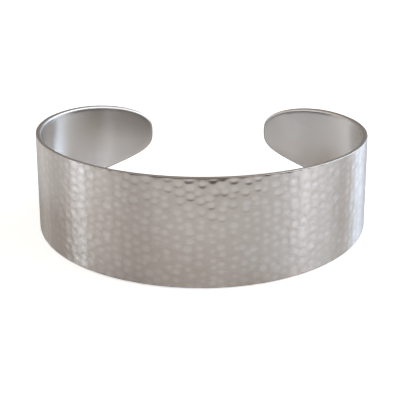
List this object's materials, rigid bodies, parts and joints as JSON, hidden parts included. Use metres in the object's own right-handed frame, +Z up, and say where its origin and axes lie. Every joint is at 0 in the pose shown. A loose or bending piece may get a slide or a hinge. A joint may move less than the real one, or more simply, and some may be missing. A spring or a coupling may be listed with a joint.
{
  "type": "hammered cuff bangle",
  "caption": "Open cuff bangle: one strip of silver sheet bent to a flattened ring, hammered outside and smooth inside, with tapered arms, rounded ends and a gap at the back.",
  "frame": {"origin": "middle of the bottom of the bounding box, on the surface that the cuff lies on", "axes": "+X across the wrist to the cuff's right arm, +Y from the front of the cuff to the gap at its back, +Z up along the wrist; the cuff leans back 3.1 degrees, as it lies by itself on its lower edge"},
  "size_m": [0.062, 0.0564, 0.0205],
  "materials": {
    "silver": "silver, hammered outside and satin inside, with plain edges"
  },
  "bodies": {
    "root": {"cuff_band": "silver"}
  },
  "joints": []
}
